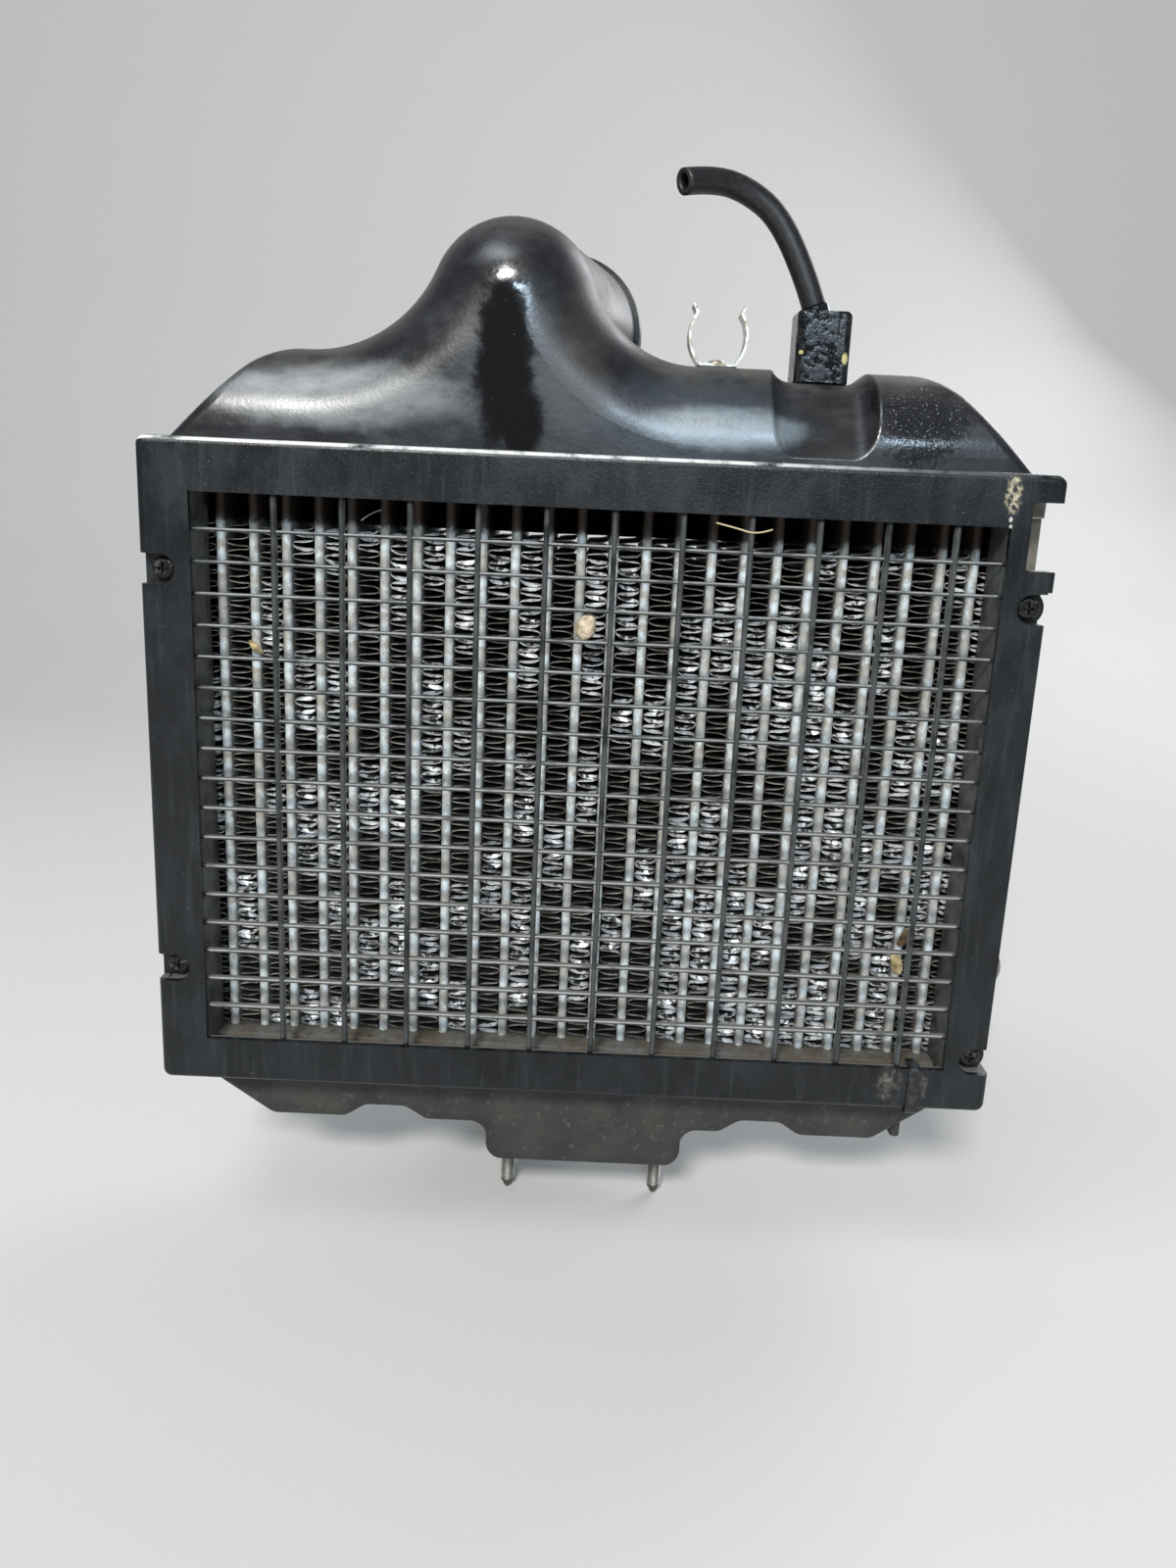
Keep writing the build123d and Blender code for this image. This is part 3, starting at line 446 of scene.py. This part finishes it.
# Painted highlight: a pale bluish band along the right of the body, broken up by noise.
right_painted_highlight = tank_plastic.spot((0.0330, -0.020, 0.2610), (0.032, 0.030, 0.0085), 0.4, 110)
highlight_flecks = tank_plastic.noise(260, 6, 0.6, stretch=(0.4, 1, 1), shift=(1, 3, 2))
right_painted_highlight = right_painted_highlight * highlight_flecks.step(0.15, 0.60, 0.5, 1.0)
dull_flank = tank_plastic.spot((-0.0130, -0.020, 0.2880), (0.016, 0.030, 0.040), 0.5, 90)
port_dust = tank_plastic.spot((-0.0100, 0.012, 0.3100), (0.010, 0.020, 0.018), 0.8, 300)
settled = tank_plastic.facing("Z").step(0.55, 1.0) * tank_plastic.noise(75, 6, 0.7).step(0.30, 0.62)
tank_colour = tank_plastic.mix(grime, (0.0045, 0.0050, 0.0060), (0.022, 0.023, 0.025))
tank_colour = tank_plastic.mix(painted_blue_reflection * 0.55, tank_colour, (0.030, 0.040, 0.052))
tank_colour = tank_plastic.mix(left_painted_highlight * 0.8, tank_colour, (0.210, 0.216, 0.216))
tank_colour = tank_plastic.mix(right_painted_highlight * 0.85, tank_colour, (0.210, 0.255, 0.285))
tank_colour = tank_plastic.mix(brown_film * 0.35, tank_colour, (0.040, 0.030, 0.022))
tank_colour = tank_plastic.mix((settled * 0.55).most(port_dust * 0.8), tank_colour, (0.105, 0.093, 0.075))
# Painted glints: the wet droplets at the right are painted a pale bluish grey; they also raise bumps.
tank_colour = tank_plastic.mix(wet_right * droplets_and_glints * 0.8, tank_colour, (0.16, 0.17, 0.18))
tank_colour = tank_plastic.mix(oil, tank_colour, (0.0020, 0.0018, 0.0018))
tank_colour = tank_plastic.mix(painted_oil_glints * 0.8, tank_colour, (0.30, 0.27, 0.22))
wet = oil.most(wet_right * 0.8)
dry_roughness = 0.27 + grime * 0.13 + settled * 0.25 + port_dust * 0.2 + dull_flank * 0.12
tank_plastic.set(Base_Color=tank_colour, Roughness=dry_roughness * (1 - wet) + wet * 0.09)
tank_grain = tank_plastic.noise(700, 4, 0.6) * (1 - oil) + droplets_and_glints * wet_right * 0.8
tank_plastic.bump(tank_grain, 0.00006)
dress(["top_tank"], tank_plastic)

# ---------------------------------------------------------------- bottom tank
# Moulded of the same nylon, with the foot for the studs and the outlet port at its rear. Road dust and
# dried mud have turned it a matt greyish brown.

lower_plastic = Finish("lower_plastic", Roughness=0.72)
mud = lower_plastic.noise(70, 6, 0.65).step(0.32, 0.66)
mud_spots = lower_plastic.noise(420, 4, 0.6).step(0.58, 0.72)
wiped = lower_plastic.noise(35, 4, 0.5, shift=(4, 2, 7)).step(0.50, 0.68)
mud_colour = lower_plastic.mix(mud, (0.019, 0.019, 0.018), (0.038, 0.036, 0.030))
mud_colour = lower_plastic.mix(wiped * 0.7, mud_colour, (0.022, 0.022, 0.022))
lower_plastic.set(Base_Color=lower_plastic.mix(mud_spots * 0.55, mud_colour, (0.11, 0.10, 0.08)))
lower_plastic.bump(lower_plastic.noise(600, 5, 0.65), 0.0003)
dress(["bottom_tank"], lower_plastic)

# ---------------------------------------------------------------- grille frame
# One black polypropylene moulding: the flange, the duct round the core's face, and the grid. The noses
# of the slats and the frame's top edge carry a painted highlight broken up by noise, dust lies on every
# ledge, and a yellowish crust has dried at a corner.

frame_low, frame_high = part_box("grille_frame")
grid_front = frame_low[1] + 0.0022
opening_x, opening_z = -0.0042, 0.1444       # middle of the air opening
frame_plastic = Finish("frame_plastic", Specular_IOR_Level=0.32)
frame_film = frame_plastic.noise(60, 6, 0.65, stretch=(1, 1, 0.6)).step(0.38, 0.70)
frame_streaks = frame_plastic.noise(420, 4, 0.6, stretch=(1, 1, 0.10)).step(0.50, 0.75)
frame_specks = frame_plastic.noise(900, 3, 0.7).step(0.71, 0.75)
frame_up = frame_plastic.facing("Z")
frame_deep = frame_plastic.axis("Y").step(grid_front - 0.0004, grid_front + 0.0004)
frame_height = frame_plastic.axis("Z").step(0.060, 0.215, 1.0, 0.25)
ledge_dust = frame_up.step(0.55, 0.95) * frame_height * frame_deep
inner_side = frame_plastic.facing("X").math("ABSOLUTE").step(0.7, 0.95) * frame_deep
from_middle = (frame_plastic.axis("X") - opening_x).math("ABSOLUTE")
side_reach = from_middle.step(0.112, 0.118)
wall_dust = inner_side * side_reach * frame_plastic.noise(120, 5).step(0.25, 0.6)
in_grid = (frame_plastic.axis("Z") - opening_z).math("ABSOLUTE").step(0.0894, 0.0899, 1.0, 0.0)
in_grid = in_grid * from_middle.step(0.1240, 0.1246, 1.0, 0.0)
grid_dust = in_grid * frame_plastic.noise(110, 6, 0.65, shift=(2, 7, 1)).step(0.30, 0.60)
nose = frame_up.step(-0.10, 0.25) * (1 - frame_up.step(0.85, 0.99))
upper_edge = frame_plastic.axis("Z").step(frame_high[2] - 0.004, frame_high[2] - 0.002)
upper_edge = upper_edge * frame_plastic.axis("X").step(0.02, 0.11, 1.0, 0.1)
# Painted highlight: a pale line along the noses of the slats and the frame's top front edge, broken up by
# noise.
nose_highlight = (frame_deep * in_grid).most(upper_edge * frame_up.step(0.35, 0.55))
nose_highlight = nose * nose_highlight * frame_plastic.noise(130, 5, 0.6).step(0.28, 0.55)
crust = frame_plastic.spot((0.1206, -0.044, 0.2448), (0.0031, 0.012, 0.0064), 1.5, 450)
crust = crust * frame_plastic.noise(640, 6, 0.75, shift=(1, 5, 2)).step(0.41, 0.55)
drips = frame_plastic.spot((0.1205, -0.044, 0.2372), (0.0007, 0.004, 0.0010), 0.3, 900)
drips = drips.most(frame_plastic.spot((0.1207, -0.044, 0.2350), (0.0006, 0.004, 0.0009), 0.3, 900))
smear = frame_plastic.spot((0.1035, -0.044, 0.0480), (0.0050, 0.012, 0.0080), 1.6, 260)
smear = smear.most(frame_plastic.spot((0.1150, -0.044, 0.0500), (0.0016, 0.012, 0.0075), 1.4, 420))
smear = smear * frame_plastic.noise(240, 6, 0.7, shift=(4, 5, 2)).step(0.40, 0.72)
frame_colour = frame_plastic.mix(frame_film, (0.0044, 0.0056, 0.0066), (0.013, 0.015, 0.017))
frame_colour = frame_plastic.mix(frame_streaks * 0.30, frame_colour, (0.045, 0.048, 0.050))
frame_colour = frame_plastic.mix(frame_specks * 0.7, frame_colour, (0.20, 0.20, 0.19))
frame_colour = frame_plastic.mix(grid_dust * 0.5, frame_colour, (0.105, 0.112, 0.108))
frame_colour = frame_plastic.mix(nose_highlight * 0.9, frame_colour, (0.74, 0.74, 0.72))
duct_dust = (ledge_dust * 0.55).most(wall_dust * 0.4)
frame_colour = frame_plastic.mix(duct_dust, frame_colour, (0.235, 0.228, 0.208))
frame_colour = frame_plastic.mix(crust, frame_colour, (0.42, 0.38, 0.27))
frame_colour = frame_plastic.mix(drips, frame_colour, (0.45, 0.44, 0.40))
frame_colour = frame_plastic.mix(smear * 0.6, frame_colour, (0.26, 0.235, 0.19))
frame_plastic.set(Base_Color=frame_colour, Roughness=0.28 + frame_film * 0.18 + ledge_dust * 0.3)
frame_grain = frame_plastic.noise(1100, 4, 0.6) + crust * frame_plastic.noise(1500, 3) * 3.0
frame_plastic.bump(frame_grain, 0.00012)
dress(["grille_frame"], frame_plastic)

# ---------------------------------------------------------------- frame screws
# Four pan-head screws of black steel. Oil has darkened their heads, and bare metal shows at the rims.

screw_steel = Finish("screw_steel", Metallic=0.75)
screw_wear = screw_steel.noise(900, 4, 0.65).step(0.52, 0.70)
screw_steel.set(Base_Color=screw_steel.mix(screw_wear, (0.022, 0.021, 0.020), (0.16, 0.145, 0.125)),
                Roughness=0.30 + screw_wear * 0.2)
screw_steel.bump(screw_steel.noise(1400, 3), 0.0001)
dress(["frame_screws"], screw_steel)

# ---------------------------------------------------------------- mounting studs
# Two M5 studs moulded in the foot by their knurled heads. They are yellow zinc, with rust high on the
# right-hand one, a bright worn thread and a dark bullet point.

stud_low, stud_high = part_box("mount_studs")
stud_r = 0.0025
thread_root = 0.0020
thread_pitch = 0.0008
stud_point = 0.0038
turn_steps = 24
knurl_teeth = 24
head_r = stud_high[1]
stud_middles = (stud_low[0] + head_r, stud_high[0] - head_r)


def capped_cut(mesh, height, side):
    """Cuts off what lies beyond a level plane, above it for a side of 1, and closes the hole."""
    cut = bmesh.ops.bisect_plane(mesh, geom=mesh.verts[:] + mesh.edges[:] + mesh.faces[:], dist=1e-7,
                                 plane_co=(0, 0, height), plane_no=(0, 0, side), clear_outer=True)
    rim = [part for part in cut["geom_cut"] if isinstance(part, bmesh.types.BMEdge)]
    bmesh.ops.edgeloop_fill(mesh, edges=rim)


def turned(mesh, profile, steps):
    """Adds a profile of (radius, height) points turned about the Z axis."""
    line = [mesh.verts.new((radius, 0, height)) for radius, height in profile]
    edges = [mesh.edges.new(pair) for pair in zip(line, line[1:])]
    bmesh.ops.spin(mesh, geom=line + edges, cent=(0, 0, 0), axis=(0, 0, 1), angle=2 * math.pi,
                   steps=steps, use_merge=True)


stud_mesh = bpy.data.meshes.new("studs")
whole = bmesh.new()
for middle in stud_middles:
    thread = bmesh.new()
    low = stud_low[2] + stud_point * 0.8
    tooth = [thread.verts.new((radius, 0, low - thread_pitch * (2 - share)))
             for radius, share in ((thread_root, 0), (stud_r, 0.5), (thread_root, 1))]
    flanks = [thread.edges.new(pair) for pair in zip(tooth, tooth[1:])]
    turns = math.ceil((stud_high[2] - low) / thread_pitch) + 3
    bmesh.ops.spin(thread, geom=tooth + flanks, cent=(0, 0, 0), axis=(0, 0, 1), angle=2 * math.pi * turns,
                   steps=turns * turn_steps, dvec=(0, 0, thread_pitch / turn_steps))
    bmesh.ops.remove_doubles(thread, verts=thread.verts[:], dist=weld)
    capped_cut(thread, stud_high[2] - 0.0005, 1)
    capped_cut(thread, low, -1)
    turned(thread, [(0, stud_low[2]), (0.0009, stud_low[2] + 0.0002), (0.0016, stud_low[2] + 0.0012),
                    (0.0021, stud_low[2] + stud_point), (0, stud_low[2] + stud_point)], turn_steps)
    turned(thread, [(0, 0.0001), (head_r * 0.96, 0.0001), (head_r, 0.0006), (head_r, stud_high[2] - 0.0006),
                    (head_r * 0.96, stud_high[2]), (0, stud_high[2])], knurl_teeth * 2)
    bmesh.ops.remove_doubles(thread, verts=thread.verts[:], dist=weld)
    bmesh.ops.recalc_face_normals(thread, faces=thread.faces[:])
    bmesh.ops.translate(thread, vec=(middle, 0, 0), verts=thread.verts[:])
    thread.to_mesh(stud_mesh)
    whole.from_mesh(stud_mesh)
    thread.free()
whole.to_mesh(stud_mesh)
whole.free()

stud_zinc = Finish("stud_zinc", Metallic=0.85)
stud_grime = stud_zinc.noise(500, 5, 0.65).step(0.45, 0.70)
stud_rust = stud_zinc.spot((stud_middles[1], 0, -0.0020), (0.006, 0.006, 0.0075), 0.6, 400)
stud_bare = stud_zinc.axis("Z").step(-0.0070, -0.0045, 1.0, 0.0)
stud_tipped = stud_zinc.axis("Z").step(stud_low[2] + 0.0032, stud_low[2] + 0.0042, 1.0, 0.0)
stud_colour = stud_zinc.mix(stud_bare, (0.58, 0.50, 0.26), (0.56, 0.55, 0.50))
stud_colour = stud_zinc.mix(stud_rust, stud_colour, (0.30, 0.14, 0.07))
stud_colour = stud_zinc.mix(stud_grime * 0.6, stud_colour, (0.13, 0.11, 0.085))
stud_zinc.set(Base_Color=stud_zinc.mix(stud_tipped * 0.85, stud_colour, (0.055, 0.050, 0.045)),
              Roughness=0.32 + stud_grime * 0.25)
piece("threaded_studs", stud_mesh, stud_zinc, "stud_zinc", "mount_studs")

# ---------------------------------------------------------------- spring clip
# A clip bent of spring steel strip, open at its top, held by one rivet. Its finish is a dull, stained
# zinc.

clip_steel = Finish("clip_steel", Metallic=0.85)
clip_stain = clip_steel.noise(350, 5, 0.65).step(0.42, 0.66)
clip_steel.set(Base_Color=clip_steel.mix(clip_stain, (0.62, 0.60, 0.54), (0.26, 0.21, 0.15)),
               Roughness=0.30 + clip_stain * 0.25)
clip_steel.bump(clip_steel.noise(1500, 3), 0.00006)
dress(["spring_clip", "clip_rivet"], clip_steel)

# ---------------------------------------------------------------- connector
# The socket and the plug with its latch are moulded of black polyamide. Both are wet with oil, and a
# dab of yellow grease sits where they meet.

wet_plastic = Finish("wet_plastic")
wet_film = wet_plastic.noise(320, 5, 0.6).step(0.40, 0.62)
beads_and_glints = wet_plastic.noise(1500, 2).step(0.64, 0.68)
grease = wet_plastic.spot((0.0734, -0.005, 0.2856), (0.0013, 0.003, 0.0022), 0.5, 900)
grease = grease.most(wet_plastic.spot((0.0590, -0.005, 0.2870), (0.0010, 0.003, 0.0008), 0.5, 900))
wet_colour = wet_plastic.mix(wet_film, (0.0030, 0.0030, 0.0035), (0.012, 0.0125, 0.014))
# Painted glints: the oil beads are painted a pale bluish grey; they also raise bumps.
wet_colour = wet_plastic.mix(beads_and_glints * 0.4, wet_colour, (0.12, 0.13, 0.15))
wet_plastic.set(Base_Color=wet_plastic.mix(grease, wet_colour, (0.50, 0.45, 0.20)),
                Roughness=0.08 + wet_film * 0.22)
wet_plastic.bump(wet_film * 0.4 + beads_and_glints, 0.00012)
dress(["connector_socket", "connector_plug"], wet_plastic)

# ---------------------------------------------------------------- retaining strip
# A strip of black plastic bent over the frame's lower edge holds it to the pan. It is wet and shines.

strip_plastic = Finish("strip_plastic")
strip_film = strip_plastic.noise(400, 4).step(0.45, 0.65)
strip_plastic.set(Base_Color=strip_plastic.mix(strip_film, (0.006, 0.006, 0.007), (0.030, 0.031, 0.034)),
                  Roughness=0.07 + strip_film * 0.2)
strip_plastic.bump(strip_plastic.noise(600, 3), 0.00003)
dress(["retaining_strip"], strip_plastic)

# ---------------------------------------------------------------- dark shade block
# Under the upper header the fins stop short. A near-black lumpy block stands well back from the tubes'
# noses between the bare tubes there: a dark stand-in for the shade in that band.

shade_block_low, shade_block_high = fin_high[2] + 0.0003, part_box("top_header")[0][2] - 0.0003
shade_block_front, shade_block_back = fin_low[1] + 0.022, fin_high[1] - 0.008
shade_block_play = 0.0002
bm = bmesh.new()
for left, right in zip(brazed_sides[::2], brazed_sides[1::2]):
    middle = ((left + right) / 2, (shade_block_front + shade_block_back) / 2, (shade_block_low + shade_block_high) / 2)
    size = (right - left - shade_block_play, shade_block_back - shade_block_front, shade_block_high - shade_block_low)
    lump_place = Matrix.Translation(middle) @ Matrix.Diagonal(size).to_4x4()
    bmesh.ops.create_cube(bm, size=1.0, matrix=lump_place)
bmesh.ops.subdivide_edges(bm, edges=bm.edges[:], cuts=6, use_grid_fill=True)
for vertex in bm.verts:
    vertex.co.y += 0.005 * noise.noise(vertex.co * 170)
shade_block_mesh = finished_mesh("dark_shade_block", bm)
shade_fill = Finish("shade_fill", Roughness=0.95)
shade_fill_lumps = shade_fill.noise(260, 5).step(0.45, 0.68)
# Painted shade: the block is near black, with dark brown lumps.
shade_fill.set(Base_Color=shade_fill.mix(shade_fill_lumps, (0.004, 0.0035, 0.003), (0.030, 0.021, 0.015)))
shade_fill.bump(shade_fill.noise(500, 5, 0.7), 0.0006)
piece("dark_shade_block", shade_block_mesh, shade_fill, None)

# ---------------------------------------------------------------- straw and fibre
# A pale straw lies against the bars at the upper right, and a short white fibre sticks to a tube at the
# upper left.


def loose_thread(name, places, thickness, finish):
    """A straw or fibre that runs smoothly along its places."""
    guide = smooth_run(name, places, 6)
    guide.data.bevel_depth = thickness / 2
    guide.data.bevel_resolution = 2
    guide.data.use_fill_caps = True
    mesh = bpy.data.meshes.new_from_object(guide)
    bpy.data.objects.remove(guide)
    piece(name, mesh, finish, None)


tube_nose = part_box(tube_names[0])[0][1]
bar_nose = frame_low[1] + 0.0015
straw = Finish("straw", Roughness=0.6)
straw.set(Base_Color=straw.mix(straw.noise(500, 4), (0.62, 0.55, 0.34), (0.42, 0.34, 0.18)))
loose_thread("long_straw", [(0.0317, bar_nose + 0.0012, 0.2323), (0.0380, bar_nose - 0.0001, 0.2310),
                            (0.0440, bar_nose - 0.0006, 0.2293), (0.0490, bar_nose + 0.0010, 0.2310)],
             0.0005, straw)

fibre = Finish("fibre", Roughness=0.7)
fibre_stain = fibre.noise(900, 3).step(0.4, 0.6)
fibre.set(Base_Color=fibre.mix(fibre_stain, (0.75, 0.74, 0.70), (0.50, 0.47, 0.40)))
loose_thread("white_fibre", [(-0.0802, tube_nose - 0.0008, 0.2278), (-0.0775, tube_nose - 0.0004, 0.2302),
                             (-0.0738, tube_nose - 0.0002, 0.2314)], 0.00035, fibre)

# ---------------------------------------------------------------- putty crumb
# A crumb of dry putty has caught on a slat above the middle of the grid. It is beige, porous and about
# 8 mm high.

crumb_middle = (-0.0066, -0.0388, 0.1986)
crumb_half = (0.0032, 0.0026, 0.0041)
crumb_lean = 0.0010
bm = bmesh.new()
bmesh.ops.create_icosphere(bm, subdivisions=4, radius=1.0)
for vertex in bm.verts:
    lump = 1 + 0.35 * noise.noise(vertex.co * 1.3) + 0.10 * noise.noise(vertex.co * 5.0)
    x, y, z = vertex.co * lump
    vertex.co = (crumb_middle[0] + crumb_half[0] * x + crumb_lean * z,
                 crumb_middle[1] + crumb_half[1] * y, crumb_middle[2] + crumb_half[2] * z)
for face in bm.faces:
    face.smooth = True
crumb_mesh = finished_mesh("putty_crumb", bm)
putty = Finish("putty", Roughness=0.9)
putty_pores = putty.noise(700, 5, 0.7)
putty.set(Base_Color=putty.mix(putty_pores.step(0.35, 0.65), (0.36, 0.27, 0.17), (0.66, 0.56, 0.42)))
putty.bump(putty_pores, 0.0005)
piece("putty_crumb", crumb_mesh, putty, None)

# ---------------------------------------------------------------- dry leaves
# Three bits of dry leaf lean on the tubes, a yellow and a brown one low on the right and a small one at
# the upper left.

leaf_sheet = 0.0002
leaf_gap = 0.0012               # between a leaf's middle and the tubes' noses


def leaf(name, place, wide, high, turn, curl, finish):
    """A bit of dry leaf: a pointed sheet, curled across its rib, with its middle at place along X and Z."""
    mesh = bmesh.new()
    made = bmesh.ops.create_grid(mesh, x_segments=6, y_segments=10, size=0.5)
    for vertex in made["verts"]:
        across, along = vertex.co.x * 2, vertex.co.y * 2
        outline = math.cos(along * 1.35) ** 0.7
        x = across * outline * wide / 2
        y = -curl * (across * outline) ** 2 + 0.0006 * math.sin(along * 3 + across)
        z = along * high / 2
        vertex.co = (place[0] + x * math.cos(turn) - z * math.sin(turn), tube_nose - leaf_gap + y,
                     place[1] + x * math.sin(turn) + z * math.cos(turn))
    bmesh.ops.recalc_face_normals(mesh, faces=mesh.faces[:])
    sheet = piece(name, finished_mesh(name, mesh), finish, None).modifiers.new("sheet", "SOLIDIFY")
    sheet.thickness = leaf_sheet


dry_leaf = Finish("dry_leaf", Roughness=0.75)
dry_spots = dry_leaf.noise(450, 5).step(0.35, 0.65)
dry_leaf.set(Base_Color=dry_leaf.mix(dry_spots, (0.55, 0.45, 0.24), (0.34, 0.25, 0.12)))
leaf("yellow_leaf", (0.1062, 0.0850), 0.0040, 0.0078, 0.25, 0.0009, dry_leaf)
dead_leaf = Finish("dead_leaf", Roughness=0.8)
dead_spots = dead_leaf.noise(450, 5).step(0.35, 0.65)
dead_leaf.set(Base_Color=dead_leaf.mix(dead_spots, (0.20, 0.125, 0.06), (0.07, 0.045, 0.025)))
leaf("brown_leaf", (0.1075, 0.0945), 0.0034, 0.0062, -0.45, 0.0008, dead_leaf)
leaf("small_leaf", (-0.1147, 0.1857), 0.0022, 0.0060, 0.9, 0.0006, dry_leaf)
